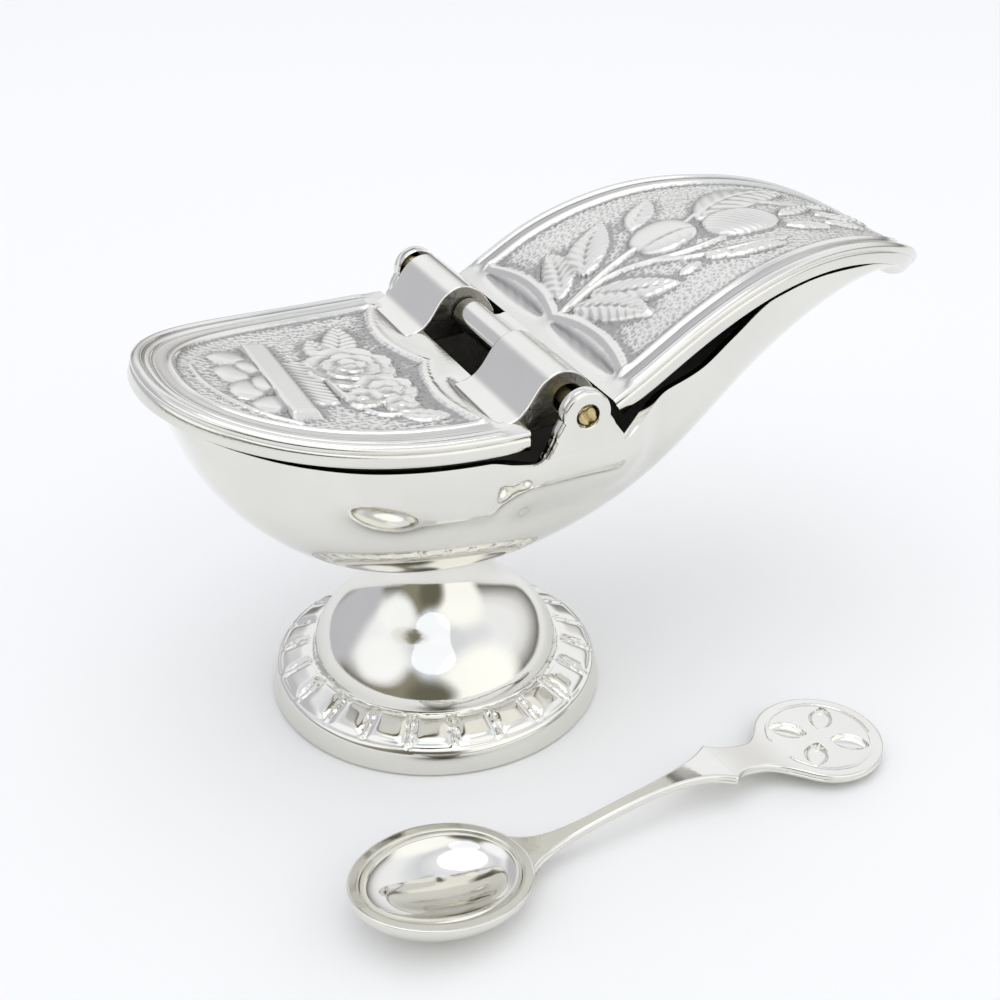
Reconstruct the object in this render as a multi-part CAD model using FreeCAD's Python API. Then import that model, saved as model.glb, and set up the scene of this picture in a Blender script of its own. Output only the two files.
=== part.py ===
import FreeCAD, Part
import os
import math

V = FreeCAD.Vector
os.makedirs("parts", exist_ok=True)

# Incense boat on a round foot, two hinged lids on one cross pin, and its spoon.
# Millimetres. X runs along the boat, Y across it, Z up.
# The origin is the centre of the foot's underside.

# ---- driving dimensions -------------------------------------------------
FOOT_R = 35.0
FOOT_WALL = 2.2
STEM_R = 10.85
STEM_WEB_Z = 28.5
PANEL_COUNT = 22
PANEL_INNER_R = 25.55
PANEL_OUTER_R = 33.5
PANEL_INNER_Z = 8.75
PANEL_OUTER_Z = 5.46
PANEL_GAP = 1.7
PANEL_DEPTH = 0.6
PANEL_END_MARGIN = 0.6
FOOT_EDGE_Z = 1.4
CREASE_R = 0.5
CREASE_OFFSET = 0.2
STEM_START_Z = 32.2
STEM_BLANK_Z = 38.0

BOWL_WALL = 1.9
BOWL_POWER = 2.4
BOSS_R = 6.0
BOSS_TOP_Z = 40.0

SCREW_R = 2.0
SCREW_TOP_Z = 38.6
SCREW_HEAD_R = 4.0
SCREW_HEAD_H = 3.0
WASHER_R = 6.2
WASHER_T = 1.2
SCREW_SLOT = 1.2

PIN_X = 13.5
PIN_Z = 77.0
PIN_R = 1.5
PIN_END_R = 1.95
PIN_END_PROUD = 0.3
BORE_CLEARANCE = 0.05
EAR_OUTER_Y = 40.2
EAR_THICKNESS = 3.0
EAR_TOP_R = 4.6
EAR_COUNTERBORE_R = 2.2
EAR_COUNTERBORE_DEPTH = 0.8

LID_EDGE = 3.9
LID_PLATE = 2.4
LID_BAND = 3.2
FIELD_DEPTH = 0.5
FRONT_FIELD_INSET = 7.0
FRONT_FIELD_END_X = -1.0
REAR_FIELD_INSET = 4.5
REAR_FIELD_LENGTH = 72.0
REAR_RECESS_LENGTH = 76.0
FRONT_TIP_X = -55.6
FRONT_LENGTH = 61.25
FRONT_HALF_W = 36.4
FRONT_POWER = 2.3
FRONT_END_X = 4.2
FRONT_TOP_Z = 74.3
FRONT_TIP_RISE = 8.3
FRONT_RISE_POWER = 2.2
HUMP_END_Y = 32.2
SLOT_HALF_W = 12.0
REAR_START_X = 21.7
LUG_R = 3.3
LUG_HALF_W = 11.4

SPOON_X = -26.7
SPOON_Y = -65.4
SPOON_TURN = 5.5
SPOON_A = 17.2
SPOON_B = 13.6
SPOON_DEPTH = 7.5
SPOON_WALL = 1.9
SPOON_TILT = 7.0
DISC_R = 12.8
DISC_T = 86.3
DISC_TOP_Z = 3.4
DISC_THICK = 2.3
DISC_DROP = 0.7
PETAL_LENGTH = 3.4
PETAL_WIDTH = 2.1
PETAL_DEPTH = 0.9
PETAL_REACH = 6.4
PETAL_START = 45.0

# Top edge of each lid in side view, from the hinge outward: (x, z).
REAR_TOP = [(21.7, 75.9), (29.0, 80.3), (35.0, 83.9), (42.0, 87.3), (50.0, 90.2),
            (58.4, 92.2), (72.0, 93.1), (86.0, 91.5), (98.0, 87.5), (106.0, 82.4), (110.6, 76.0)]

# Half of the rear lid's plan outline, from the hinge to the tip: (x, y).
REAR_PLAN = [(21.7, 34.65), (35.0, 34.3), (48.0, 32.4), (61.6, 29.6), (75.6, 26.1),
             (90.0, 22.5), (100.0, 18.0), (107.5, 10.8), (110.8, 0.0)]

# Bowl stations: (x, half width, keel z, top z).
BOWL_STATIONS = [(-55.0, 7.0, 78.2, 81.0), (-54.0, 10.3, 77.4, 80.8), (-52.5, 13.7, 75.0, 80.5),
                 (-49.0, 18.7, 64.8, 79.6), (-45.0, 22.5, 57.3, 78.7), (-38.0, 27.0, 49.0, 77.0),
                 (-28.0, 31.1, 41.3, 75.0), (-15.0, 34.0, 35.9, 73.5), (0.0, 35.2, 34.0, 73.0),
                 (14.0, 34.9, 36.0, 74.0), (28.0, 33.7, 40.6, 76.0), (42.0, 32.3, 49.0, 82.0),
                 (56.0, 29.8, 60.2, 90.0), (70.0, 26.7, 70.7, 91.5), (84.0, 23.4, 78.2, 90.5),
                 (96.0, 19.0, 80.3, 87.0), (104.0, 13.5, 78.3, 83.0), (109.5, 5.0, 74.2, 78.0)]

# Bowl rim in side view where it dips clear of the lids beside the hinge: (x, z).
RIM_FRONT = [(-11.0, 69.1), (-2.0, 68.8), (5.0, 69.5)]
RIM_HINGE_Z = 70.4
RIM_HINGE_X = (7.0, 20.5)
RIM_REAR = [(21.5, 71.8), (24.5, 71.4), (29.0, 71.9), (34.5, 73.8), (41.0, 76.9), (49.0, 81.8)]

# Gap between the rim and each lid's underside, from the tip inward and from the middle to the tail.
FRONT_RIM_GAPS = (0.4, 0.7, 1.2, 1.5)
REAR_RIM_GAPS = (1.3, 0.8, 0.5, 0.4, 0.4, 0.4)

# Foot dome from the panels up to the stem, outside and inside: (radius, z).
DOME_OUTER = [(23.8, 14.7), (20.3, 19.25), (15.75, 23.45), (12.6, 27.3)]
DOME_INNER = [(23.8, 13.0), (20.3, 17.8), (15.75, 22.0), (12.6, 26.2)]

# Hinge ear below its round top, in side view (x, z) and end view (y, z).
EAR_SIDE = [(22.2, 72.2), (22.2, 66.0), (17.0, 60.0), (10.0, 60.0), (6.4, 66.0), (6.4, 70.6)]
EAR_FOOT_Y = (30.0, 34.6)
EAR_FOOT_Z = (60.0, 67.5)

# Front lid's hinge barrels in side view: the arch over the pin and the flat foot below it.
ARCH = [(4.6, 74.6), (8.4, 79.2), (12.0, 82.4), (16.9, 80.2), (20.2, 75.2)]
ARCH_FOOT = [(19.8, 72.7), (2.0, 71.6), (2.0, 73.8)]

# Rear lid's tongue in side view, from under the pin round to above it.
TONGUE = [(13.5, 73.7), (22.6, 72.4), (22.6, 76.2), (18.6, 76.4), (15.9, 79.2), (13.5, 78.0), (13.5, 73.7)]

# Last section of the bowl's hollow under the tail: x, half width, keel z, top z.
TAIL_HOLLOW = (91.0, 14.0, 83.2, 89.5)

# Spoon handle, along the handle from the spoon's centre: half widths, top line and bottom line.
HANDLE_HALF_W = [(12.0, 5.8), (19.0, 2.8), (28.0, 1.5), (45.0, 1.5), (60.8, 5.4)]
COLLAR_HALF_W = [(62.0, 5.6), (66.0, 3.9), (71.5, 4.0), (76.5, 8.6)]
HANDLE_TOP = [(10.0, 6.1), (18.0, 5.4), (30.0, 6.4), (46.0, 8.0), (60.0, 7.6), (74.0, 4.4),
              (84.0, DISC_TOP_Z), (101.0, DISC_TOP_Z - DISC_DROP)]
HANDLE_LOW = [(10.0, 2.4), (18.0, 2.4), (30.0, 3.2), (46.0, 4.8), (60.0, 4.7), (74.0, 1.9),
              (84.0, DISC_TOP_Z - DISC_THICK), (101.0, 0.3)]


def curve(points):
    c = Part.BSplineCurve()
    c.interpolate(points)
    return c.toShape()


def polyline(points):
    return [Part.makeLine(a, b) for a, b in zip(points, points[1:])]


def side_solid(edges, y0, y1):
    """Face drawn in side view (X, Z), pushed out across the boat from y0 to y1."""
    face = Part.Face(Part.Wire(Part.__sortEdges__(edges)))
    face.translate(V(0, y0, 0))
    return face.extrude(V(0, y1 - y0, 0))


def plan_solid(edges, z0, z1):
    face = Part.Face(Part.Wire(Part.__sortEdges__(edges)))
    face.translate(V(0, 0, z0))
    return face.extrude(V(0, 0, z1 - z0))


def side_points(pairs):
    return [V(x, 0, z) for x, z in pairs]


def offset_pairs(pairs, distance):
    """Move each point of a side-view line downward, square to the line."""
    moved = []
    for i, (x, z) in enumerate(pairs):
        x0, z0 = pairs[max(i - 1, 0)]
        x1, z1 = pairs[min(i + 1, len(pairs) - 1)]
        length = math.hypot(x1 - x0, z1 - z0)
        moved.append((x + distance * (z1 - z0) / length, z - distance * (x1 - x0) / length))
    return moved


# ---- foot ---------------------------------------------------------------
def make_foot(bowl_outer):
    shoulder = (PANEL_INNER_R, PANEL_INNER_Z)
    outer = polyline(side_points([(0, 0), (FOOT_R, 0), (FOOT_R, FOOT_EDGE_Z), (PANEL_OUTER_R, PANEL_OUTER_Z),
                                  shoulder]))
    outer.append(curve(side_points([shoulder] + DOME_OUTER + [(STEM_R, STEM_START_Z)])))
    outer += polyline(side_points([(STEM_R, STEM_START_Z), (STEM_R, STEM_BLANK_Z), (0, STEM_BLANK_Z), (0, 0)]))
    body = Part.Face(Part.Wire(outer)).revolve(V(0, 0, 0), V(0, 0, 1), 360)

    w = FOOT_WALL
    dome = [(PANEL_INNER_R - w, PANEL_INNER_Z - w)] + [(r - w, z) for r, z in DOME_INNER]
    inner = polyline(side_points([(0, -1), (FOOT_R - w, -1), (FOOT_R - w, 1),
                                  (PANEL_OUTER_R - w, PANEL_OUTER_Z - w), dome[0]]))
    inner.append(curve(side_points(dome)))
    inner += polyline(side_points([dome[-1], (STEM_R - w, STEM_WEB_Z), (0, STEM_WEB_Z), (0, -1)]))
    body = body.cut(Part.Face(Part.Wire(inner)).revolve(V(0, 0, 0), V(0, 0, 1), 360))

    # Raised panels are left standing between radial grooves and one round groove at the dome's base.
    run = PANEL_OUTER_R - PANEL_INNER_R
    drop = PANEL_INNER_Z - PANEL_OUTER_Z
    tilt = math.degrees(math.atan2(drop, run))
    length = math.hypot(run, drop)
    grooves = []
    for i in range(PANEL_COUNT):
        groove = Part.makeBox(length - 2 * PANEL_END_MARGIN, PANEL_GAP, 5 * PANEL_DEPTH,
                              V(PANEL_END_MARGIN, -PANEL_GAP / 2, -PANEL_DEPTH))
        groove.rotate(V(0, 0, 0), V(0, 1, 0), tilt)
        groove.translate(V(PANEL_INNER_R, 0, PANEL_INNER_Z))
        groove.rotate(V(0, 0, 0), V(0, 0, 1), 360.0 * (i + 0.5) / PANEL_COUNT)
        grooves.append(groove)
    body = body.cut(Part.makeCompound(grooves))
    crease_at = V(0, 0, PANEL_INNER_Z + CREASE_OFFSET)
    body = body.cut(Part.makeTorus(PANEL_INNER_R + CREASE_OFFSET, CREASE_R, crease_at))
    body = body.cut(bowl_outer)
    return body.cut(Part.makeCylinder(SCREW_R, 20, V(0, 0, STEM_WEB_Z - 1)))


def make_foot_washer():
    disc = Part.makeCylinder(WASHER_R, WASHER_T, V(0, 0, STEM_WEB_Z - WASHER_T))
    return disc.cut(Part.makeCylinder(SCREW_R, 10, V(0, 0, STEM_WEB_Z - 5)))


def make_foot_screw():
    head_top = STEM_WEB_Z - WASHER_T
    head = Part.makeCylinder(SCREW_HEAD_R, SCREW_HEAD_H, V(0, 0, head_top - SCREW_HEAD_H))
    slot = Part.makeBox(2 * SCREW_HEAD_R, SCREW_SLOT, SCREW_SLOT,
                        V(-SCREW_HEAD_R, -SCREW_SLOT / 2, head_top - SCREW_HEAD_H))
    shank = Part.makeCylinder(SCREW_R, SCREW_TOP_Z - head_top, V(0, 0, head_top))
    return head.cut(slot).fuse(shank).removeSplitter()


# ---- bowl ---------------------------------------------------------------
def bowl_section(x, half_w, keel, top):
    power = 2.0 / BOWL_POWER
    steps = 12
    points = []
    for i in range(steps + 1):
        angle = math.pi * i / steps
        c = math.cos(angle)
        y = math.copysign(abs(c) ** power, c) * half_w
        z = top - (top - keel) * abs(math.sin(angle)) ** power
        points.append(V(x, y, z))
    return Part.Wire([curve(points), Part.makeLine(points[-1], points[0])])


def bowl_outer_solid():
    wires = [bowl_section(*station) for station in BOWL_STATIONS]
    return Part.makeLoft(wires, True, False)


def bowl_inner_solid():
    keel = [(s[0], s[2]) for s in BOWL_STATIONS]
    raised = offset_pairs(keel, -BOWL_WALL)
    wires = []
    for (x, half_w, z, top), (xi, zi) in list(zip(BOWL_STATIONS, raised))[2:-3]:
        wires.append(bowl_section(xi, half_w - BOWL_WALL, zi, top + 0.5))
    wires.append(bowl_section(*TAIL_HOLLOW))
    return Part.makeLoft(wires, True, False)


def above_rim():
    """Everything above the rim line, which follows the lids' undersides at both ends."""
    first = len(REAR_TOP) - len(REAR_RIM_GAPS)
    rear = [offset_pairs(REAR_TOP, LID_EDGE + gap)[first + i] for i, gap in enumerate(REAR_RIM_GAPS)]
    front = [offset_pairs(front_top_pairs(), LID_EDGE + gap)[i] for i, gap in enumerate(FRONT_RIM_GAPS)]
    front_line = side_points(front + RIM_FRONT)
    rear_line = side_points(RIM_REAR + rear)
    end = V(120, 0, rear_line[-1].z - 6)
    edges = [curve(front_line)]
    level = side_points([(x, RIM_HINGE_Z) for x in RIM_HINGE_X])
    edges += polyline([front_line[-1]] + level + [rear_line[0]])
    edges.append(curve(rear_line))
    edges += polyline([rear_line[-1], end, V(120, 0, 120), V(-60, 0, 120),
                       V(-60, 0, front_line[0].z), front_line[0]])
    return side_solid(edges, -60, 60)


def ear(side):
    """Hinge ear standing out from the bowl's side, drawn for +Y and mirrored for -Y."""
    half = EAR_TOP_R
    face = polyline(side_points([(PIN_X + half, PIN_Z)] + EAR_SIDE + [(PIN_X - half, PIN_Z)]))
    top = Part.Arc(V(PIN_X - half, 0, PIN_Z), V(PIN_X, 0, PIN_Z + half), V(PIN_X + half, 0, PIN_Z))
    front_view = side_solid(face + [top.toShape()], 25, 50)
    inner_y = EAR_OUTER_Y - EAR_THICKNESS
    foot_in, foot_out = EAR_FOOT_Y
    foot_low, foot_high = EAR_FOOT_Z
    outline = [V(0, foot_in, foot_low), V(0, foot_out, foot_low), V(0, EAR_OUTER_Y, foot_high),
               V(0, EAR_OUTER_Y, 90), V(0, inner_y, 90), V(0, inner_y, RIM_HINGE_Z),
               V(0, foot_in, RIM_HINGE_Z), V(0, foot_in, foot_low)]
    end_view = Part.Face(Part.Wire(polyline(outline))).extrude(V(40, 0, 0))
    body = front_view.common(end_view)
    if side < 0:
        body = body.mirror(V(0, 0, 0), V(0, 1, 0))
    return body


def make_bowl(outer):
    inner = bowl_inner_solid()
    body = outer
    for side in (-1, 1):
        body = body.fuse(ear(side))
    body = body.cut(inner)
    boss = Part.makeCylinder(BOSS_R, BOSS_TOP_Z - 30, V(0, 0, 30)).common(outer)
    body = body.fuse(boss)
    body = body.cut(Part.makeCylinder(SCREW_R, SCREW_TOP_Z - 20, V(0, 0, 20)))
    keep = above_rim()
    for side in (-1, 1):
        y0 = EAR_OUTER_Y - EAR_THICKNESS if side > 0 else -EAR_OUTER_Y - 5
        keep = keep.cut(Part.makeBox(20, EAR_THICKNESS + 5, 30, V(4.0, y0, 60)))
    body = body.cut(keep)
    pin = V(PIN_X, -60, PIN_Z)
    body = body.cut(Part.makeCylinder(PIN_R, 120, pin, V(0, 1, 0)))
    depth = EAR_COUNTERBORE_DEPTH
    for y in (-EAR_OUTER_Y - 5, EAR_OUTER_Y - depth):
        start = V(PIN_X, y, PIN_Z)
        body = body.cut(Part.makeCylinder(EAR_COUNTERBORE_R, 5 + depth, start, V(0, 1, 0)))
    return body


def make_hinge_pin():
    reach = EAR_OUTER_Y - EAR_COUNTERBORE_DEPTH
    shaft = Part.makeCylinder(PIN_R, 2 * reach, V(PIN_X, -reach, PIN_Z), V(0, 1, 0))
    end_h = EAR_COUNTERBORE_DEPTH + PIN_END_PROUD
    for y in (-reach - end_h, reach):
        shaft = shaft.fuse(Part.makeCylinder(PIN_END_R, end_h, V(PIN_X, y, PIN_Z), V(0, 1, 0)))
    return shaft.removeSplitter()


# ---- lids ---------------------------------------------------------------
def front_plan(inset):
    """Half-open rounded outline of the front lid, closed across at its hinge end."""
    power = 2.0 / FRONT_POWER
    steps = 16
    points = []
    for i in range(steps + 1):
        angle = math.pi * (i / steps - 0.5)
        s = math.sin(angle)
        x = FRONT_TIP_X + inset + FRONT_LENGTH * (1 - math.cos(angle) ** power)
        points.append(V(x, math.copysign(abs(s) ** power, s) * (FRONT_HALF_W - inset), 0))
    return [curve(points), Part.makeLine(points[-1], points[0])]


def front_top_pairs():
    pairs = []
    for x in (-58.0, -46.0, -34.0, -22.0, -10.0, 0.0):
        rise = FRONT_TIP_RISE * max(x / FRONT_TIP_X, 0) ** FRONT_RISE_POWER
        pairs.append((x, FRONT_TOP_Z + rise))
    return pairs


def slab(pairs, x_end, z_end, thickness):
    """Lid thickness in side view: a top line and the same line moved down square to itself."""
    low = [V(x, 0, z) for x, z in offset_pairs(pairs, thickness)]
    high = side_points(pairs)
    if x_end > high[-1].x:
        edges = [curve(high)]
        edges += polyline([high[-1], V(x_end, 0, z_end), V(x_end, 0, z_end - thickness), low[-1]])
        edges += [curve(low), Part.makeLine(low[0], high[0])]
    else:
        edges = [curve(high), curve(low), Part.makeLine(high[0], low[0]), Part.makeLine(high[-1], low[-1])]
    return side_solid(edges, -60, 60)


def below_plate(pairs, x_end, z_end):
    low = side_points(offset_pairs(pairs, LID_PLATE))
    line = [low[-1]]
    if x_end > low[-1].x:
        line.append(V(x_end, 0, z_end - LID_PLATE))
    line += [V(line[-1].x, 0, 50), V(low[0].x, 0, 50), low[0]]
    return side_solid([curve(low)] + polyline(line), -60, 60)


def above_field(pairs, x_end, z_end):
    """Space above a lid's sunken picture field, which follows the lid's top line."""
    low = side_points(offset_pairs(pairs, FIELD_DEPTH))
    line = [low[-1]]
    if x_end > low[-1].x:
        line.append(V(x_end, 0, z_end - FIELD_DEPTH))
    line += [V(line[-1].x, 0, 120), V(low[0].x, 0, 120), low[0]]
    return side_solid([curve(low)] + polyline(line), -60, 60)


def make_front_lid():
    pairs = front_top_pairs()
    plan = plan_solid(front_plan(0), 40, 100)
    keep = Part.makeBox(70, 100, 80, V(FRONT_END_X - 70, -50, 30))
    plate = slab(pairs, FRONT_END_X + 2, FRONT_TOP_Z, LID_EDGE).common(plan).common(keep)
    inner_keep = Part.makeBox(70, 100, 80, V(FRONT_END_X - LID_BAND - 70, -50, 30))
    recess = plan_solid(front_plan(LID_BAND), 40, 100).common(inner_keep)
    plate = plate.cut(recess.common(below_plate(pairs, FRONT_END_X + 2, FRONT_TOP_Z)))
    field = plan_solid(front_plan(FRONT_FIELD_INSET), 40, 130)
    field = field.common(Part.makeBox(70, 100, 90, V(FRONT_FIELD_END_X - 70, -50, 40)))
    plate = plate.cut(field.common(above_field(pairs, FRONT_END_X + 2, FRONT_TOP_Z)))
    edges = [curve(side_points(ARCH))]
    edges += polyline(side_points([ARCH[-1]] + ARCH_FOOT + [ARCH[0]]))
    hump = side_solid(edges, -HUMP_END_Y, HUMP_END_Y)
    hump = hump.cut(Part.makeBox(40, 2 * SLOT_HALF_W, 40, V(FRONT_END_X, -SLOT_HALF_W, 60)))
    body = plate.fuse(hump)
    bore = Part.makeCylinder(PIN_R + BORE_CLEARANCE, 120, V(PIN_X, -60, PIN_Z), V(0, 1, 0))
    return body.cut(bore).removeSplitter()


def rear_plan(inset):
    upper = [V(x - (inset if x > 100 else 0), max(y - inset, 0), 0) for x, y in REAR_PLAN]
    lower = [V(p.x, -p.y, 0) for p in upper]
    points = upper + lower[-2::-1]
    return [curve(points), Part.makeLine(points[-1], points[0])]


def make_rear_lid():
    plan = plan_solid(rear_plan(0), 40, 110)
    plate = slab(REAR_TOP, 0, 0, LID_EDGE).common(plan)
    plate = plate.common(Part.makeBox(120, 100, 100, V(REAR_START_X, -50, 20)))
    recess = plan_solid(rear_plan(LID_BAND), 40, 110)
    recess = recess.common(Part.makeBox(REAR_RECESS_LENGTH, 100, 100, V(REAR_START_X + LID_BAND, -50, 20)))
    plate = plate.cut(recess.common(below_plate(REAR_TOP, 0, 0)))
    field = plan_solid(rear_plan(REAR_FIELD_INSET), 40, 130)
    start = REAR_START_X + REAR_FIELD_INSET
    field = field.common(Part.makeBox(REAR_FIELD_LENGTH, 100, 90, V(start, -50, 40)))
    plate = plate.cut(field.common(above_field(REAR_TOP, 0, 0)))
    lug = Part.makeCylinder(LUG_R, 2 * LUG_HALF_W, V(PIN_X, -LUG_HALF_W, PIN_Z), V(0, 1, 0))
    tongue = polyline(side_points(TONGUE))
    body = plate.fuse(side_solid(tongue, -LUG_HALF_W, LUG_HALF_W)).fuse(lug)
    bore = Part.makeCylinder(PIN_R + BORE_CLEARANCE, 120, V(PIN_X, -60, PIN_Z), V(0, 1, 0))
    return body.cut(bore).removeSplitter()


# ---- spoon --------------------------------------------------------------
def half_ellipsoid(a, b, depth):
    ball = Part.makeSphere(1.0, V(0, 0, 0), V(0, 0, 1), -90, 0, 360)
    scale = FreeCAD.Matrix()
    scale.scale(V(a, b, depth))
    return ball.transformGeometry(scale)


def spoon_handle():
    """Handle, collar and finial disc: plan outline and side outline pushed through each other."""
    start, start_w = HANDLE_HALF_W[0]
    end_w = COLLAR_HALF_W[-1][1]
    edges = []
    for s in (1, -1):
        a = [V(t, w * s, 0) for t, w in HANDLE_HALF_W]
        b = [V(t, w * s, 0) for t, w in COLLAR_HALF_W]
        edges += [curve(a), Part.makeLine(a[-1], b[0]), curve(b)]
        edges.append(Part.makeLine(b[-1], V(DISC_T, b[-1].y, 0)))
    edges.append(Part.makeLine(V(start, start_w, 0), V(start, -start_w, 0)))
    edges.append(Part.makeLine(V(DISC_T, end_w, 0), V(DISC_T, -end_w, 0)))
    plan = plan_solid(edges, -5, 20)
    plan = plan.fuse(Part.makeCylinder(DISC_R, 25, V(DISC_T, 0, -5)))
    high = side_points(HANDLE_TOP)
    low = side_points(HANDLE_LOW)
    edges = [curve(high), curve(low), Part.makeLine(high[0], low[0]), Part.makeLine(high[-1], low[-1])]
    return plan.common(side_solid(edges, -20, 20))


def make_spoon():
    outer = half_ellipsoid(SPOON_A, SPOON_B, SPOON_DEPTH)
    inner = half_ellipsoid(SPOON_A - SPOON_WALL, SPOON_B - SPOON_WALL, SPOON_DEPTH - SPOON_WALL)
    above = Part.makeBox(60, 60, 20, V(-30, -30, 0))
    handle = spoon_handle()
    tilt = math.radians(SPOON_TILT)
    lift = math.hypot(SPOON_A * math.sin(tilt), SPOON_DEPTH * math.cos(tilt))
    for shape in (outer, inner, above):
        shape.rotate(V(0, 0, 0), V(0, 1, 0), SPOON_TILT)
        shape.translate(V(0, 0, lift))
    handle = handle.cut(inner)
    body = outer.cut(inner).fuse(handle)
    body = body.cut(above.common(Part.makeBox(80, 60, 40, V(-68, -30, 0))))
    for i in range(4):
        cut = half_ellipsoid(PETAL_LENGTH, PETAL_WIDTH, PETAL_DEPTH)
        cut.translate(V(PETAL_REACH, 0, 0))
        cut.rotate(V(0, 0, 0), V(0, 0, 1), PETAL_START + 90.0 * i)
        cut.translate(V(DISC_T, 0, DISC_TOP_Z))
        body = body.cut(cut)
    body.rotate(V(0, 0, 0), V(0, 0, 1), SPOON_TURN)
    body.translate(V(SPOON_X, SPOON_Y, 0))
    return body


bowl_outer = bowl_outer_solid()
NODES = {
    "bowl": make_bowl(bowl_outer),
    "foot": make_foot(bowl_outer),
    "foot_screw": make_foot_screw(),
    "foot_washer": make_foot_washer(),
    "hinge_pin": make_hinge_pin(),
    "front_lid": make_front_lid(),
    "rear_lid": make_rear_lid(),
    "spoon": make_spoon(),
}
for name, shape in NODES.items():
    if shape.ShapeType == "Compound" and len(shape.Solids) == 1:
        shape = shape.Solids[0]
    shape.exportStep("parts/" + name + ".step")
    box = shape.BoundBox
    print(name, shape.isValid(), len(shape.Solids), round(shape.Volume),
          [round(v, 1) for v in (box.XMin, box.XMax, box.YMin, box.YMax, box.ZMin, box.ZMax)])
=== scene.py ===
import math

import bmesh
import bpy
import numpy as np
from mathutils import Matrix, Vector


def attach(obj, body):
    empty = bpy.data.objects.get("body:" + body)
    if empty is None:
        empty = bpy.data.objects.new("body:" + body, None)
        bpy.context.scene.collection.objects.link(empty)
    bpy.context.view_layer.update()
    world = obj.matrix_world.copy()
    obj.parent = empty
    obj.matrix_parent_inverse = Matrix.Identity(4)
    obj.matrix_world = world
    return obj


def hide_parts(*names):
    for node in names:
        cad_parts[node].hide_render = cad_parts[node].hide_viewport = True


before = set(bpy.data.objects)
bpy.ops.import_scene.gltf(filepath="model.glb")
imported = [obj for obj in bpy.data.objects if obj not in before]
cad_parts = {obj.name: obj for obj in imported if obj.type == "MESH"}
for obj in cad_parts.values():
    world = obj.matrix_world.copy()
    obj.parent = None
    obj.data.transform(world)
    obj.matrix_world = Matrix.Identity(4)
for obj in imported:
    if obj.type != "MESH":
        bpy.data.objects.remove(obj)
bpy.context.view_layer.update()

MM = 0.001
TURNS_40 = np.linspace(0, 2 * math.pi, 40, False)
rng = np.random.default_rng(7)


# ---------------------------------------------------------------- curves
def spline(knots, values):
    """Smooth curve through the values, natural at both ends."""
    k = np.asarray(knots, float)
    v = np.asarray(values, float)
    n = len(k)
    h = np.diff(k)
    a = np.eye(n)
    b = np.zeros(n)
    for i in range(1, n - 1):
        a[i, i - 1:i + 2] = h[i - 1], 2 * (h[i - 1] + h[i]), h[i]
        b[i] = 6 * ((v[i + 1] - v[i]) / h[i] - (v[i] - v[i - 1]) / h[i - 1])
    m = np.linalg.solve(a, b)

    def at(q):
        q = np.asarray(q, float)
        i = np.clip(np.searchsorted(k, q) - 1, 0, n - 2)
        t, u = k[i + 1] - q, q - k[i]
        hi = h[i]
        return (m[i] * t ** 3 + m[i + 1] * u ** 3) / (6 * hi) + (v[i] / hi - m[i] * hi / 6) * t \
            + (v[i + 1] / hi - m[i + 1] * hi / 6) * u
    return at


def steady(knots, values):
    """Curve through the values that never overshoots them."""
    k = np.asarray(knots, float)
    v = np.asarray(values, float)
    h = np.diff(k)
    d = np.diff(v) / h
    m = np.zeros(len(k))
    m[0], m[-1] = d[0], d[-1]
    for i in range(1, len(k) - 1):
        if d[i - 1] * d[i] > 0:
            w1, w2 = 2 * h[i] + h[i - 1], h[i] + 2 * h[i - 1]
            m[i] = (w1 + w2) / (w1 / d[i - 1] + w2 / d[i])

    def at(q):
        q = np.clip(np.asarray(q, float), k[0], k[-1])
        i = np.clip(np.searchsorted(k, q) - 1, 0, len(k) - 2)
        t = (q - k[i]) / h[i]
        return v[i] * (1 + 2 * t) * (1 - t) ** 2 + h[i] * m[i] * t * (1 - t) ** 2 \
            + v[i + 1] * t * t * (3 - 2 * t) + h[i] * m[i + 1] * t * t * (t - 1)
    return at


def chord(points):
    p = np.asarray(points, float)
    return np.r_[0, np.cumsum(np.linalg.norm(np.diff(p, axis=0), axis=1))]


def step(a, b, x):
    """0 at a and beyond, 1 at b and beyond, whichever way round they are."""
    t = np.clip((np.asarray(x, float) - a) / (b - a), 0, 1)
    return t * t * (3 - 2 * t)


# ---------------------------------------------------------------- meshes
def make_object(name, verts, faces, body, material, nodes=(), angle=38, merge=0.004,
                marks=None):
    me = bpy.data.meshes.new(name)
    me.from_pydata([tuple(v) for v in np.asarray(verts, float) * MM], [], faces)
    for key, values in (marks or {}).items():
        layer = me.attributes.new(key, "FLOAT", "POINT")
        layer.data.foreach_set("value", np.asarray(values, np.float32))
    bm = bmesh.new()
    bm.from_mesh(me)
    if merge:
        bmesh.ops.remove_doubles(bm, verts=bm.verts, dist=merge * MM)
    bmesh.ops.dissolve_degenerate(bm, dist=1e-7, edges=bm.edges)
    bmesh.ops.recalc_face_normals(bm, faces=bm.faces)
    bm.to_mesh(me)
    bm.free()
    return place(name, me, body, material, nodes, angle)


def place(name, me, body, material, nodes=(), angle=38):
    me.materials.clear()
    me.materials.append(material)
    # undersides marked 'below' take the near-black painted-shade metal
    if "below" in me.attributes and body != "loose_spoon":
        me.materials.append(shade_inside_metal)
        under = me.attributes["below"].data
        for p in me.polygons:
            if all(under[i].value > 0.5 for i in p.vertices):
                p.material_index = 1
    me.polygons.foreach_set("use_smooth", [True] * len(me.polygons))
    me.set_sharp_from_angle(angle=math.radians(angle))
    ob = bpy.data.objects.new(name, me)
    bpy.context.scene.collection.objects.link(ob)
    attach(ob, body)
    if nodes:
        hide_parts(*nodes)
    return ob


def bake(ob):
    """Replace an object's mesh with its modifiers' result."""
    graph = bpy.context.evaluated_depsgraph_get()
    me = bpy.data.meshes.new_from_object(ob.evaluated_get(graph))
    ob.modifiers.clear()
    ob.data = me


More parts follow.
